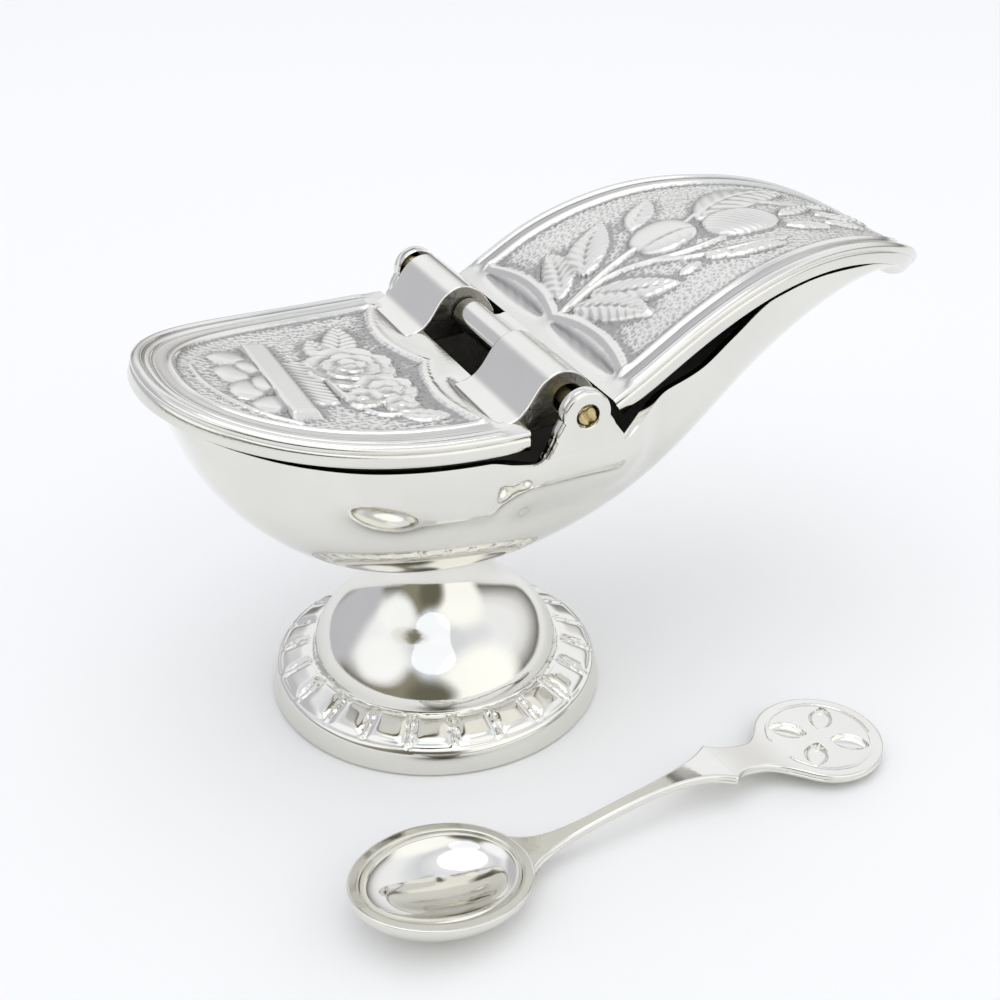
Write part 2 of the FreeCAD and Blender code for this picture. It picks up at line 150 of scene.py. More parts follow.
def grid_faces(rows, cols, base=0, wrap_rows=False, wrap_cols=False):
    faces = []
    for i in range(rows if wrap_rows else rows - 1):
        i1 = (i + 1) % rows
        for j in range(cols if wrap_cols else cols - 1):
            j1 = (j + 1) % cols
            faces.append((base + i * cols + j, base + i1 * cols + j, base + i1 * cols + j1,
                          base + i * cols + j1))
    return faces


def lathe(profile, columns, offset=None):
    """Closed ring of profile points (radius, z) turned about the vertical axis."""
    p = np.asarray(profile, float)
    ang = np.linspace(0, 2 * math.pi, columns, endpoint=False)
    r = np.repeat(p[:, 0][:, None], columns, 1)
    z = np.repeat(p[:, 1][:, None], columns, 1)
    if offset is not None:
        dr, dz = offset(ang)
        r, z = r + dr, z + dz
    verts = np.stack([r * np.cos(ang), r * np.sin(ang), z], -1).reshape(-1, 3)
    return verts, grid_faces(len(p), columns, wrap_rows=True, wrap_cols=True)


def plate(outline, line, relief, sides, under, columns, floor_cols=7):
    """A cast plate: relief on a top that follows a side-view line, and a moulded edge profile.

    outline: (x, half width) from the straight end to the tip. line: functions (sx, cx, cz) giving
    length along the top for x, and x and z for that length. sides: (out, down) pairs. under:
    (out, down) of the recessed underside."""
    x, w = outline[:, 0], outline[:, 1]
    sx, cx, cz = line
    s = sx(x)
    ds, dw = np.gradient(s), np.gradient(w)
    if w[-1] < 1e-6:
        dw[-1], ds[-1] = -1.0, 0.0
    ln = np.hypot(ds, dw)
    ns, nw = -dw / ln, ds / ln
    ns[0], nw[0] = 0.0, 1.0
    flip = np.where(nw < -1e-9, -1, 1)
    ns, nw = ns * flip, nw * flip

    def at(length, y, down):
        px, pz = cx(length), cz(length)
        gx = (cx(length + 0.05) - cx(length - 0.05)) / 0.1
        gz = (cz(length + 0.05) - cz(length - 0.05)) / 0.1
        gl = np.hypot(gx, gz)
        return np.stack([px + down * gz / gl, y, pz - down * gx / gl], -1)

    rows = len(x)
    inset = -sides[0][0]
    st, wt = s - inset * ns, np.maximum(w - inset * nw, 0.0)
    v = np.linspace(-1, 1, columns)
    length = np.repeat(st[:, None], columns, 1)
    y = wt[:, None] * v[None]
    h, field = relief(cx(length), y)
    top = at(length, y, -h)
    verts = [top.reshape(-1, 3)]
    # height above the local average: low values mark the hollows that get painted shade in the cast
    # material
    raised = np.clip(0.5 + (h - softened(h, 5)) / 0.55, 0, 1)
    faces = grid_faces(rows, columns)
    count = rows * columns
    chains = []
    for side in (-1, 1):
        chain = [[i * columns + (0 if side < 0 else columns - 1) for i in range(rows)]]
        for out, down in sides[1:]:
            ring = at(s + out * ns, side * np.maximum(w + out * nw, 0.0), np.full(rows, down))
            verts.append(ring)
            chain.append(list(range(count, count + rows)))
            count += rows
        chains.append(chain)
        for a, b in zip(chain, chain[1:]):
            for i in range(rows - 1):
                faces.append((a[i], a[i + 1], b[i + 1], b[i]))
    out, down = under
    u = np.linspace(-1, 1, floor_cols)
    length = np.repeat((s + out * ns)[:, None], floor_cols, 1)
    length[0] += 2.5
    y = np.maximum(w + out * nw, 0.0)[:, None] * u[None]
    low = at(length, y, np.full((rows, floor_cols), down))
    verts.append(low.reshape(-1, 3))
    base = count
    faces += grid_faces(rows, floor_cols, base)
    for chain, col in ((chains[0], 0), (chains[1], floor_cols - 1)):
        for i in range(rows - 1):
            faces.append((chain[-1][i], chain[-1][i + 1], base + (i + 1) * floor_cols + col,
                          base + i * floor_cols + col))
    end = list(range(columns)) + [c[0] for c in chains[1][1:]]
    end += [c[0] for c in reversed(chains[0][1:])]
    faces.append(tuple(end))
    low_end = [chains[0][-1][0], chains[1][-1][0]] + [base + j for j in reversed(range(floor_cols))]
    faces.append(tuple(low_end))
    verts = np.concatenate(verts)
    extra = np.zeros(len(verts) - rows * columns)
    # underside rows, which get the painted-shade metal in place()
    below = np.zeros(len(verts))
    below[base:] = 1.0
    marks = {"raised": np.r_[raised.ravel(), extra + 0.5], "field": np.r_[field.ravel(), extra],
             "below": below}
    return verts, faces, marks


def softened(h, reach):
    """Local average of a height grid."""
    for _ in range(2):
        for axis in (0, 1):
            pad = [(reach + 1, reach) if a == axis else (0, 0) for a in (0, 1)]
            c = np.cumsum(np.pad(h, pad, mode="edge"), axis=axis)
            n = 2 * reach + 1
            h = (c[n:] - c[:-n]) / n if axis == 0 else (c[:, n:] - c[:, :-n]) / n
    return h


def side_shape(name, outline, ends_y, body, material, hole, bevel, ends=None):
    """A side-view outline (x, z) pushed between two y values, with a round hole and softened edges.

    hole: (x, z, radius). ends: material of the two end faces and the hole, if it differs."""
    bm = bmesh.new()
    y0, y1 = ends_y
    hx, hz, r = hole
    ring = [(hx + r * math.cos(a), hz + r * math.sin(a)) for a in TURNS_40]
    edges = []
    for loop in (outline, ring):
        vs = [bm.verts.new((x * MM, y0 * MM, z * MM)) for x, z in loop]
        for a, b in zip(vs, vs[1:] + vs[:1]):
            edges.append(bm.edges.new((a, b)))
    bmesh.ops.triangle_fill(bm, use_beauty=True, use_dissolve=False, edges=edges)
    made = bmesh.ops.extrude_face_region(bm, geom=list(bm.faces))
    moved = [g for g in made["geom"] if isinstance(g, bmesh.types.BMVert)]
    bmesh.ops.translate(bm, verts=moved, vec=(0, (y1 - y0) * MM, 0))
    bmesh.ops.recalc_face_normals(bm, faces=bm.faces)
    me = bpy.data.meshes.new(name)
    bm.to_mesh(me)
    bm.free()
    ob = place(name, me, body, material)
    mod = ob.modifiers.new("edge", "BEVEL")
    mod.width = bevel * MM
    mod.segments = 3
    mod.limit_method = "ANGLE"
    mod.angle_limit = math.radians(35)
    mod.use_clamp_overlap = True
    even = ob.modifiers.new("even", "WEIGHTED_NORMAL")
    even.weight = 90
    even.keep_sharp = True
    bake(ob)
    if ends:
        ob.data.materials.append(ends)
        for p in ob.data.polygons:
            near = math.hypot(p.center.x / MM - hx, p.center.z / MM - hz) < r + 0.7
            if abs(p.normal.y) > 0.9 or near:
                p.material_index = 1


# ---------------------------------------------------------------- materials
CLOUD_SCALE, POLISH_SCALE = 45.0, 160.0


def nodes_of(name):
    mat = bpy.data.materials.new(name)
    mat.use_nodes = True
    nt = mat.node_tree
    return mat, nt, nt.nodes["Principled BSDF"]


def metal(name, colour, rough, rough_spread=0.05, grain=0.0, grain_scale=900.0, wave=0.0,
          wave_scale=60.0, cloud_dark=None):
    """Plated metal: faintly clouded colour, uneven polish, casting grain and a slow waviness."""
    mat, nt, bsdf = nodes_of(name)
    bsdf.inputs["Metallic"].default_value = 1.0
    coord = nt.nodes.new("ShaderNodeTexCoord")
    cloud = nt.nodes.new("ShaderNodeTexNoise")
    cloud.inputs["Scale"].default_value = CLOUD_SCALE
    cloud.inputs["Detail"].default_value = 6.0
    nt.links.new(coord.outputs["Object"], cloud.inputs["Vector"])
    ramp = nt.nodes.new("ShaderNodeValToRGB")
    dark = tuple(c * 0.93 for c in colour) if cloud_dark is None else cloud_dark
    ramp.color_ramp.elements[0].position = 0.30
    ramp.color_ramp.elements[0].color = (*dark, 1)
    ramp.color_ramp.elements[1].position = 0.62
    ramp.color_ramp.elements[1].color = (*colour, 1)
    nt.links.new(cloud.outputs["Fac"], ramp.inputs["Fac"])
    nt.links.new(ramp.outputs["Color"], bsdf.inputs["Base Color"])
    polish = nt.nodes.new("ShaderNodeTexNoise")
    polish.inputs["Scale"].default_value = POLISH_SCALE
    polish.inputs["Detail"].default_value = 4.0
    nt.links.new(coord.outputs["Object"], polish.inputs["Vector"])
    span = nt.nodes.new("ShaderNodeMapRange")
    span.inputs["To Min"].default_value = max(rough - rough_spread, 0.01)
    span.inputs["To Max"].default_value = rough + rough_spread
    nt.links.new(polish.outputs["Fac"], span.inputs["Value"])
    nt.links.new(span.outputs["Result"], bsdf.inputs["Roughness"])
    last = None
    for amount, scale in ((wave, wave_scale), (grain, grain_scale)):
        if amount <= 0:
            continue
        tex = nt.nodes.new("ShaderNodeTexNoise")
        tex.inputs["Scale"].default_value = scale
        tex.inputs["Detail"].default_value = 3.0
        nt.links.new(coord.outputs["Object"], tex.inputs["Vector"])
        bump = nt.nodes.new("ShaderNodeBump")
        bump.inputs["Distance"].default_value = amount * MM
        bump.inputs["Strength"].default_value = 1.0
        nt.links.new(tex.outputs["Fac"], bump.inputs["Height"])
        if last:
            nt.links.new(last.outputs["Normal"], bump.inputs["Normal"])
        last = bump
    if last:
        nt.links.new(last.outputs["Normal"], bsdf.inputs["Normal"])
    return mat


def cast(name, colour, low, smooth_rough, field_rough):
    """Cast plate: bright on raised work, greyer with painted shade and duller in hollows and on the
    punched ground.
    """
    mat = metal(name, colour, smooth_rough, 0.03, grain=0.02, grain_scale=1500.0)
    nt = mat.node_tree
    bsdf = nt.nodes["Principled BSDF"]
    raised, field = nt.nodes.new("ShaderNodeAttribute"), nt.nodes.new("ShaderNodeAttribute")
    raised.attribute_name, field.attribute_name = "raised", "field"
    # painted shade: hollows of the relief blend towards the darker grey colour
    hollow_shade = nt.nodes.new("ShaderNodeMapRange")
    hollow_shade.interpolation_type = "SMOOTHSTEP"
    hollow_shade.inputs["From Min"].default_value = 0.12
    hollow_shade.inputs["From Max"].default_value = 0.56
    nt.links.new(raised.outputs["Fac"], hollow_shade.inputs["Value"])
    mix = nt.nodes.new("ShaderNodeMix")
    mix.data_type = "RGBA"
    mix.inputs["A"].default_value = (*low, 1)
    nt.links.new(hollow_shade.outputs["Result"], mix.inputs["Factor"])
    nt.links.new(bsdf.inputs["Base Color"].links[0].from_socket, mix.inputs["B"])
    nt.links.new(mix.outputs["Result"], bsdf.inputs["Base Color"])
    dull = nt.nodes.new("ShaderNodeMapRange")
    dull.inputs["To Max"].default_value = field_rough - smooth_rough
    nt.links.new(field.outputs["Fac"], dull.inputs["Value"])
    add = nt.nodes.new("ShaderNodeMath")
    nt.links.new(bsdf.inputs["Roughness"].links[0].from_socket, add.inputs[0])
    nt.links.new(dull.outputs["Result"], add.inputs[1])
    nt.links.new(add.outputs["Value"], bsdf.inputs["Roughness"])
    return mat


PLATE = (0.80, 0.79, 0.745)
bowl_metal = metal("polished_plate_bowl", PLATE, 0.05, 0.02, grain=0.004, wave=0.05,
                   wave_scale=35.0)
foot_metal = metal("polished_plate_foot", PLATE, 0.06, 0.02, grain=0.006, wave=0.04,
                   wave_scale=40.0)
# the grey (0.40, 0.395, 0.38) is painted shade for the hollows of the relief
lid_metal = cast("cast_plate_lid", PLATE, (0.40, 0.395, 0.38), 0.12, 0.25)
# painted shade: near-black metal standing in for the shade inside the bowl and under the lids
shade_inside_metal = metal("painted_shade_inside", (0.13, 0.127, 0.118), 0.48, 0.08, grain=0.10,
                    grain_scale=500.0,
                    cloud_dark=(0.055, 0.053, 0.048))
smooth_lid_metal = metal("buffed_plate_lid", PLATE, 0.10, 0.04, grain=0.006)
spoon_metal = metal("polished_plate_spoon", PLATE, 0.06, 0.02, grain=0.006, wave=0.03)
rough_metal = metal("as_cast_plate", (0.34, 0.33, 0.30), 0.36, 0.10, grain=0.25, grain_scale=600.0,
                    cloud_dark=(0.07, 0.068, 0.06))
brass = metal("rough_brass", (0.90, 0.80, 0.50), 0.45, 0.12, grain=0.14, grain_scale=900.0,
              cloud_dark=(0.52, 0.42, 0.20))
steel = metal("plain_steel", (0.62, 0.62, 0.60), 0.30, 0.08, grain=0.02)

# ---------------------------------------------------------------- shared dimensions in mm
PIN_X, PIN_Z = 13.5, 77.0
REAR_TOP = [(21.7, 75.9), (29.0, 80.3), (35.0, 83.9), (42.0, 87.3), (50.0, 90.2), (58.4, 92.2),
            (72.0, 93.1), (86.0, 91.5), (98.0, 87.5), (106.0, 82.4), (110.6, 76.0)]
REAR_PLAN = [(21.7, 34.65), (35.0, 34.3), (48.0, 32.4), (61.6, 29.6), (75.6, 26.1),
             (90.0, 22.5), (100.0, 18.0), (107.5, 10.8), (110.4, 0.0)]
BOWL = [(-55.0, 7.0, 78.2, 81.0), (-54.0, 10.3, 77.4, 80.8), (-52.5, 13.7, 75.0, 80.5),
        (-49.0, 18.7, 64.8, 79.6), (-45.0, 22.5, 57.3, 78.7), (-38.0, 27.0, 49.0, 77.0),
        (-28.0, 31.1, 41.3, 75.0), (-15.0, 34.0, 35.9, 73.5), (0.0, 35.2, 34.0, 73.0),
        (14.0, 34.9, 36.0, 74.0), (28.0, 33.7, 40.6, 76.0), (42.0, 32.3, 49.0, 82.0),
        (56.0, 29.8, 60.2, 90.0), (70.0, 26.7, 70.7, 91.5), (84.0, 23.4, 78.2, 90.5),
        (96.0, 19.0, 80.3, 87.0), (104.0, 13.5, 78.3, 83.0), (109.5, 5.0, 74.2, 78.0)]
LID_EDGE = 3.9
FRONT_REACH = 55.6       # front tip, measured forward of x = 0
WALL, RIM_EDGE = 1.9, 0.3
EAR_FACE, FLARE_FACE = 40.2, 40.24
EAR_HOLE, EAR_THICK = 2.2, 3.0
PIN_R, PIN_END = 1.5, 40.5
BARREL_Y, BARREL_HOLE = (12.0, 32.2), 2.7
LUG_R, LUG_HALF, LUG_HOLE = 3.3, 11.4, 1.56
# rim of the bowl either side of the hinge
HINGE_RIM = [(-11.0, 69.1), (-2.0, 68.8), (4.5, 69.4), (6.5, 70.3), (19.0, 70.4), (21.3, 70.9),
             (24.5, 72.4), (29.0, 73.7), (34.5, 75.2), (41.0, 77.1), (49.0, 81.8)]
FRONT_GAPS = ((-56.0, 0.4), (-46.0, 0.7), (-34.0, 1.2), (-22.0, 1.5))
REAR_GAPS = ((5, 1.3), (6, 0.8), (7, 0.5), (8, 0.4), (9, 0.4))   # (point of REAR_TOP, gap)


def front_z(x):
    return 74.3 + 8.3 * (np.maximum(-np.asarray(x, float), 0) / FRONT_REACH) ** 2.2


def moved_down(pairs, distance):
    p = np.asarray(pairs, float)
    g = np.gradient(p, axis=0)
    g /= np.linalg.norm(g, axis=1)[:, None]
    return [(x + distance * gz, z - distance * gx) for (x, z), (gx, gz) in zip(p, g)]


# ---------------------------------------------------------------- bowl
def build_bowl():
    st = np.asarray(BOWL, float)
    q = chord(st[:, [0, 2]])
    fx, fw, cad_, ft = (spline(q, st[:, c]) for c in range(4))
    front = [(x, front_z(x) - LID_EDGE - gap) for x, gap in FRONT_GAPS]
    rear = [moved_down(REAR_TOP, LID_EDGE + gap)[i] for i, gap in REAR_GAPS]
    rim_pts = front + HINGE_RIM + rear
    rim = steady([p[0] for p in rim_pts], [p[1] for p in rim_pts])
    u = np.linspace(0, 1, 260)
    q0, q1 = 0.9, q[-2] + 1.0
    t = q0 + (q1 - q0) * (0.75 * u + 0.25 * 0.5 * (1 - np.cos(math.pi * u)))
    x, w, keel, top = fx(t), np.maximum(fw(t), 0.5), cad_(t), ft(t)
    r = np.clip(rim(x), keel + 0.25, None)
    power = 2 / 2.4
    a0 = np.arcsin(np.clip(((top - r) / (top - keel)), 0, 1) ** (1 / power))
    cols = 121
    f = np.linspace(0, 1, cols)
    ang = a0[:, None] + (math.pi - 2 * a0)[:, None] * f[None]
    c = np.cos(ang)
    y = np.sign(c) * np.abs(c) ** power * w[:, None]
    z = top[:, None] - (top - keel)[:, None] * np.sin(ang) ** power
    xx = np.repeat(x[:, None], cols, 1)
    # the sides swell outward to carry the hinge ears
    fade = np.where(xx > 14.3, step(6.5, 20.0, xx - 14.3), step(9.6, 17.5, 14.3 - xx))
    flare = (1 - fade) * step(53.0, 68.6, z)
    reach = np.maximum(FLARE_FACE - np.abs(y), 0)
    y = y + np.sign(y) * flare * reach * (np.abs(y) > 20)
    verts = np.stack([xx, y, z], -1).reshape(-1, 3)
    ob = make_object("bowl_shell", verts, grid_faces(len(x), cols), "boat", bowl_metal,
                     ("bowl",), merge=0)
    bm = bmesh.new()
    bm.from_mesh(ob.data)
    bmesh.ops.recalc_face_normals(bm, faces=bm.faces)
    low = min(bm.faces, key=lambda face: face.calc_center_median().z)
    if low.normal.z > 0:
        bmesh.ops.reverse_faces(bm, faces=bm.faces)
    bm.to_mesh(ob.data)
    bm.free()
    mod = ob.modifiers.new("wall", "SOLIDIFY")
    mod.thickness = WALL * MM
    mod.offset = -1
    mod.use_rim = True
    mod.thickness_clamp = 0.6
    # the inner wall takes the second material, the near-black painted-shade metal
    mod.material_offset = 1
    ob.data.materials.append(shade_inside_metal)
    bev = ob.modifiers.new("rim", "BEVEL")
    bev.width = RIM_EDGE * MM
    bev.segments = 2
    bev.limit_method = "ANGLE"
    bev.angle_limit = math.radians(50)
    bake(ob)
    ob.data.polygons.foreach_set("use_smooth", [True] * len(ob.data.polygons))
    ob.data.set_sharp_from_angle(angle=math.radians(60))


build_bowl()


EAR_SIDE = [(5.0, 66.0), (5.2, 69.2), (6.3, 70.6), (7.4, 72.9), (8.4, 75.4)]
EAR_REAR = [(18.4, 75.9), (19.2, 74.4), (20.2, 73.0), (21.0, 71.9), (21.3, 70.5), (21.3, 66.0)]


def ear_outline(count):
    """Ear outline seen from the side, at even angles about the pin."""
    pts = EAR_SIDE + [(PIN_X + 4.6 * math.cos(t), PIN_Z + 4.6 * math.sin(t))
                      for t in np.linspace(math.radians(188), math.radians(-8), 41)] + EAR_REAR
    p = np.asarray(pts + [(18.0, 66.0), (13.5, 66.0), (9.0, 66.0)], float) - (PIN_X, PIN_Z)
    turn = np.unwrap(np.arctan2(p[:, 1], p[:, 0]))
    order = np.argsort(turn % (2 * math.pi))
    t, r = (turn % (2 * math.pi))[order], np.hypot(p[:, 0], p[:, 1])[order]
    at = np.linspace(0, 2 * math.pi, count, endpoint=False)
    return at, np.interp(at, np.r_[t[-1] - 2 * math.pi, t, t[0] + 2 * math.pi],
                         np.r_[r[-1], r, r[0]])


def build_ear(side, tag):
    hole, edge, thick = EAR_HOLE, 0.5, EAR_THICK
    turn, far = ear_outline(220)
    # (share of the way from hole to outline, distance from it, depth below the outer face)
    prof = [(0, 0.0, 0.85), (0, 0.0, 0.25), (0, 0.08, 0.08), (0, 0.25, 0.0)]
    prof += [(f, 0.25 + (-0.25 - edge) * f, 0.0) for f in np.linspace(0.08, 1, 14)]
    prof += [(1, -0.27, 0.06), (1, -0.10, 0.17), (1, 0.0, 0.36), (1, 0.0, 1.0), (1, -0.12, 1.15),
             (1, -0.12, 1.3), (1, 0.0, 1.45),
             (1, 0.0, thick - 0.3), (1, -0.3, thick), (0, 0.3, thick), (0, 0.0, thick - 0.3)]
    rows = []
    for f, out, down in prof:
        r = hole + (far - hole) * f + out
        x, z = PIN_X + r * np.cos(turn), PIN_Z + r * np.sin(turn)
        dive = 0.9 * (1 - step(67.0, 69.8, z))
        rows.append(np.stack([x, side * (EAR_FACE - down - dive), z], -1))
    faces = grid_faces(len(prof), len(turn), wrap_rows=True, wrap_cols=True)
    make_object("bowl_ear_" + tag, np.concatenate(rows), faces, "boat", bowl_metal,
                merge=0, angle=40)


build_ear(-1, "near")
build_ear(1, "far")

verts, faces = lathe([(2.0, 35.0), (8.5, 35.0), (7.2, 36.8), (6.3, 38.2), (6.0, 39.4), (5.6, 39.9),
                      (2.0, 40.0)], 48)
make_object("bowl_boss", verts, faces, "boat", bowl_metal)


# ---------------------------------------------------------------- hinge pin
def build_pin():
    """Rod with hammered, lumpy ends."""
    # (distance from the middle, radius, share of lumps)
    line = [(0.0, PIN_R, 0), (33.0, PIN_R, 0), (33.8, 1.7, 0.5), (34.6, 2.0, 1), (35.6, 2.05, 1),
            (36.6, 1.9, 1), (37.1, PIN_R, 0.3), (39.2, PIN_R, 0.3), (39.6, 1.62, 1), (40.0, 1.6, 1),
            (40.3, 1.3, 1), (40.45, 0.8, 1), (PIN_END, 0.25, 0)]
    d = np.unique(np.r_[np.linspace(0, 33, 12), np.linspace(33, 39.4, 40),
                        np.linspace(39.5, PIN_END, 14)])
    radius = np.interp(d, [p[0] for p in line], [p[1] for p in line])
    lumpy = np.interp(d, [p[0] for p in line], [p[2] for p in line])
    ys = np.r_[-d[::-1], d[1:]]
    radius, lumpy = np.r_[radius[::-1], radius[1:]], np.r_[lumpy[::-1], lumpy[1:]]
    cols = 36
    ang = np.linspace(0, 2 * math.pi, cols, endpoint=False)
    noise = softened(rng.normal(0, 1, (len(ys), cols)), 2) * 2.2
    r = radius[:, None] + 0.24 * lumpy[:,
                                       None] * (noise + np.sin(3 * ang[None] + ys[:, None] * 2.1))
    r = np.minimum(r, 2.12)
    end = step(39.2, 39.6, np.abs(ys))[:, None]
    cleft = np.exp(-((r * np.cos(ang[None] - 0.6) + 0.25) / 0.42) ** 2)
    bump = end * (0.25 * np.sin(3 * ang[None] + 0.9) * (r / 1.6) - 0.75 * cleft)
    y = np.sign(ys)[:, None] * np.minimum(np.abs(ys[:, None]) + bump, PIN_END)
    verts = np.stack([PIN_X + 0.22 * end + r * np.cos(ang), y,
                      PIN_Z - 0.28 * end + r * np.sin(ang)], -1).reshape(-1, 3)
    faces = grid_faces(len(ys), cols, wrap_cols=True)
    faces.append(tuple(range(cols)))
    faces.append(tuple(range((len(ys) - 1) * cols, len(ys) * cols)))
    make_object("hinge_pin_rod", verts, faces, "boat", brass, ("hinge_pin",), angle=50)


build_pin()


# ---------------------------------------------------------------- foot
DOME = [(26.0, 8.75), (25.4, 11.2), (24.1, 14.0), (22.0, 17.0), (19.2, 19.8), (16.3, 22.4),
        (14.0, 25.2), (12.4, 28.4),
        (11.4, 31.8), (10.95, 35.6)]


CELLS, PER_CELL = 22, 28
RING_OUT, RING_IN = (33.45, 5.58), (26.5, 8.55)       # (radius, z) of the band of cells
RAIL_HALF, RAIL_HEIGHT, RAIL_FOOT, PILLOW_HEIGHT = 0.62, 0.34, 0.72, 0.62


def build_foot():
    """Spun foot: bell-shaped dome on a wide ring of glossy cells with rough dividers."""
    k = chord(DOME)
    dome_r, dome_z = (spline(k, [p[c] for p in DOME]) for c in (0, 1))
    prof = [(32.8, 0.0), (34.6, 0.0), (34.95, 0.25), (35.0, 0.8), (34.7, 2.6), (34.2, 4.4),
            (33.95, 5.1), (33.65, 5.5)]
    ring0, n_ring = len(prof), 30
    for f in np.linspace(0, 1, n_ring):
        prof.append((RING_OUT[0] + (RING_IN[0] - RING_OUT[0]) * f,
                     RING_OUT[1] + (RING_IN[1] - RING_OUT[1]) * f))
    ring1 = len(prof)
    prof += [(26.25, 8.5), (26.1, 8.6)]
    for d in np.linspace(0.0, k[-1], 60):
        prof.append((float(dome_r(d)), float(dome_z(d))))
    prof += [(10.2, 35.65), (2.1, 35.65), (2.1, 28.5), (8.6, 28.5), (10.3, 26.0), (13.0, 22.0),
             (16.8, 18.2),
             (20.4, 14.0), (22.6, 9.0), (24.6, 6.2), (31.2, 3.2), (32.7, 1.0)]
    columns = CELLS * PER_CELL
    rows = len(prof)
    noise = softened(rng.normal(0, 1, (rows, columns)), 1) * 3

    def offset(a):
        dr, dz = np.zeros((rows, columns)), np.zeros((rows, columns))
        cell = (a / (2 * math.pi) * CELLS + 0.5) % 1.0
        for i in range(n_ring):
            f = i / (n_ring - 1)
            width = 2 * math.pi * prof[ring0 + i][0] / CELLS
            side = np.minimum(cell, 1 - cell) * width
            rail = RAIL_HEIGHT * np.sqrt(np.clip(1 - (side / RAIL_HALF) ** 2, 0, 1))
            rail = rail * (step(0.02, 0.10, f) * step(1.0, 0.93, f))
            reach = np.clip((side - RAIL_FOOT) / (width / 2 - RAIL_FOOT), 0, 1)
            along = np.clip(1 - np.abs(f - 0.52) / 0.45, 0, 1)
            pillow = PILLOW_HEIGHT * (1 - (1 - reach) ** 5) * (1 - (1 - along) ** 5)
            rough = (side < 0.95) * 0.07 * noise[ring0 + i] * (0.3 + step(1.0, 0.5, f))
            bump = np.where(side < RAIL_FOOT, rail, pillow) + rough
            dz[ring0 + i], dr[ring0 + i] = bump * 0.92, bump * 0.39
        dz[ring1] = 0.10 * noise[ring1]
        return dr, dz

    verts, faces = lathe(prof, columns, offset)
    make_object("foot_spun", verts, faces, "boat", foot_metal, ("foot",), angle=55,
                merge=0)


build_foot()
for name in ("foot_screw", "foot_washer"):
    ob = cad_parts[name]
    ob.data.materials.clear()
    ob.data.materials.append(steel)


# ---------------------------------------------------------------- relief
def pits(x, y, pitch, size, depth, seed):
    """Punched ground: one small hollow per jittered cell."""
    gen = np.random.default_rng(seed)
    table = gen.random((97, 97, 3))
    out = np.zeros(x.shape)
    ix, iy = np.floor(x / pitch).astype(int), np.floor(y / pitch).astype(int)
    for dx in (-1, 0, 1):
        for dy in (-1, 0, 1):
            cx, cy = ix + dx, iy + dy
            t = table[cx % 97, cy % 97]
            px = (cx + 0.5 + 0.75 * (t[..., 0] - 0.5)) * pitch
            py = (cy + 0.5 + 0.75 * (t[..., 1] - 0.5)) * pitch
            d = np.hypot(x - px, y - py) / (size * (0.7 + 0.6 * t[..., 2]))
            out = np.minimum(out, -depth * np.clip(1 - d * d, 0, 1))
    return out


def along(x, y, a, b):
    """Share of the way from a to b, signed distance off that line, and its length."""
    ax, ay = a
    bx, by = b
    length = math.hypot(bx - ax, by - ay)
    ux, uy = (bx - ax) / length, (by - ay) / length
    return ((x - ax) * ux + (y - ay) * uy) / length, -(x - ax) * uy + (y - ay) * ux, length


def leaf(h, x, y, a, b, width, height, veins=2.1, bend=0.0, tip=0.85):
    """Veined leaf from stalk a to tip b."""
    t, s, length = along(x, y, a, b)
    s = s + bend * np.sin(np.clip(t, 0, 1) * math.pi)
    inside = (t > 0) & (t < 1)
    half = width * np.sin(math.pi * np.clip(t, 0, 1) ** tip) ** 0.8 + 1e-6
    k = np.clip(np.abs(s) / half, 0, 1)
    side = np.where(s > 0, 1.0, 0.86)
    body = height * side * (0.30 + 0.70 * np.sqrt(1 - k ** 2.5))
    body = body - 0.34 * height * np.exp(-(s / 0.30) ** 2)
    body = body + 0.12 * height * np.cos(2 * math.pi * (t * length - 0.9 * np.abs(s)) / veins)
    return np.where(inside & (k < 1), np.maximum(h, body), h)


def mound(h, x, y, centre, a, b, turn, height, sharp=2.0):
    """Rounded boss with half axes a and b; also returns 0 at its middle to 1 at its edge."""
    c, s = math.cos(turn), math.sin(turn)
    dx, dy = x - centre[0], y - centre[1]
    k = ((np.abs(dx * c + dy * s) / a) ** sharp + (np.abs(dy * c - dx * s) / b) ** sharp)
    return np.where(k < 1, np.maximum(h, height * np.sqrt(np.clip(1 - k, 0, 1)) ** 0.8), h), k


def rod(h, x, y, points, radius, height):
    """Half-round stem along a smooth path."""
    p = np.asarray(points, float)
    q = chord(p)
    fx, fy = spline(q, p[:, 0]), spline(q, p[:, 1])
    t = np.linspace(0, q[-1], 60)
    path = np.stack([fx(t), fy(t)], -1)
    best = np.full(x.shape, 1e9)
    for (ax, ay), (bx, by) in zip(path, path[1:]):
        dx, dy = bx - ax, by - ay
        k = np.clip(((x - ax) * dx + (y - ay) * dy) / (dx * dx + dy * dy), 0, 1)
        best = np.minimum(best, np.hypot(x - ax - k * dx, y - ay - k * dy))
    k = best / radius
    return np.where(k < 1, np.maximum(h, height * np.sqrt(np.clip(1 - k * k, 0, 1))), h)


def eased(h, inside):
    """Round off the stepped edges of a relief: fully at the field's border, lightly elsewhere."""
    border = step(0.0, 0.15, inside) * step(1.0, 0.85, inside)
    h = h + (softened(h, 1) - h) * (0.45 + 0.55 * border)
    return h + (softened(h, 1) - h) * border


def edge_distance(x, y, outline):
    """Distance in plan from each point to a lid's curved edge."""
    path = np.concatenate([outline, (outline * [1, -1])[::-1]])[::2]
    best = np.full(x.shape, 1e9)
    for (ax, ay), (bx, by) in zip(path, path[1:]):
        dx, dy = bx - ax, by - ay
        n = dx * dx + dy * dy
        if n < 1e-12:
            continue
        k = np.clip(((x - ax) * dx + (y - ay) * dy) / n, 0, 1)
        best = np.minimum(best, np.hypot(x - ax - k * dx, y - ay - k * dy))
    return best


def bead(d, centre, half, height):
    """Half-round ridge at one distance from an edge."""
    return height * np.sqrt(np.clip(1 - ((d - centre) / half) ** 2, 0, 1))


